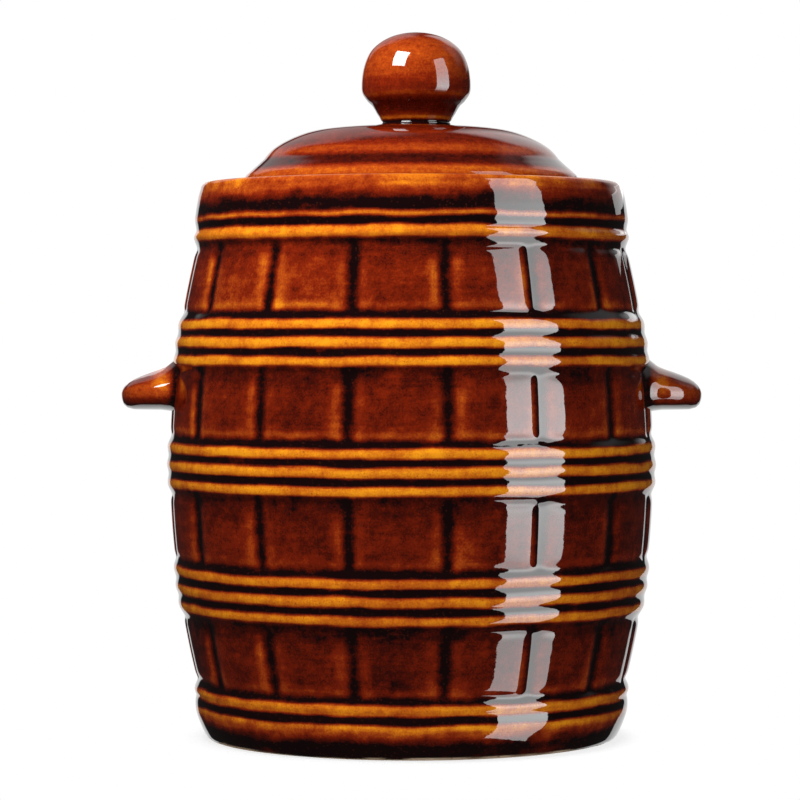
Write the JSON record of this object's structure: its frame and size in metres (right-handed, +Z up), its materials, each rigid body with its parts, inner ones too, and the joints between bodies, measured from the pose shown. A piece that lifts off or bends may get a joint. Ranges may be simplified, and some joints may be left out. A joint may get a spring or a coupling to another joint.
{
  "type": "ceramic fermenting crock",
  "caption": "Barrel-shaped glazed stoneware crock with lug handles, a domed lid with a ball knob, and half-moon pressing stones for fermenting vegetables.",
  "frame": {"origin": "on the pot's axis, on the surface that the pot stands on", "axes": "+Z up along the pot's axis, +X towards the right-hand lug handle, -Y towards the viewer of the picture"},
  "size_m": [0.2516, 0.2122, 0.3045],
  "materials": {
    "pot_glaze": "glossy",
    "lug_glaze": "glossy",
    "lid_glaze": "glossy",
    "bare_clay": "matte"
  },
  "bodies": {
    "crock": {"crock_body": "pot_glaze", "handle_left": "lug_glaze", "handle_right": "lug_glaze"},
    "lid": {"lid": "lid_glaze", "lid_knob": "lid_glaze"},
    "left_stone": {"weight_left": "bare_clay"},
    "right_stone": {"weight_right": "bare_clay"}
  },
  "joints": [
    {"name": "lid_lift", "type": "slide", "parent": "crock", "child": "lid", "axis": [0, 0, 1], "range_m": [0, 0.12]},
    {"name": "left_stone_lift", "type": "slide", "parent": "crock", "child": "left_stone", "axis": [0, 0, 1], "range_m": [0, 0.18]},
    {"name": "right_stone_lift", "type": "slide", "parent": "crock", "child": "right_stone", "axis": [0, 0, 1], "range_m": [0, 0.18]}
  ]
}
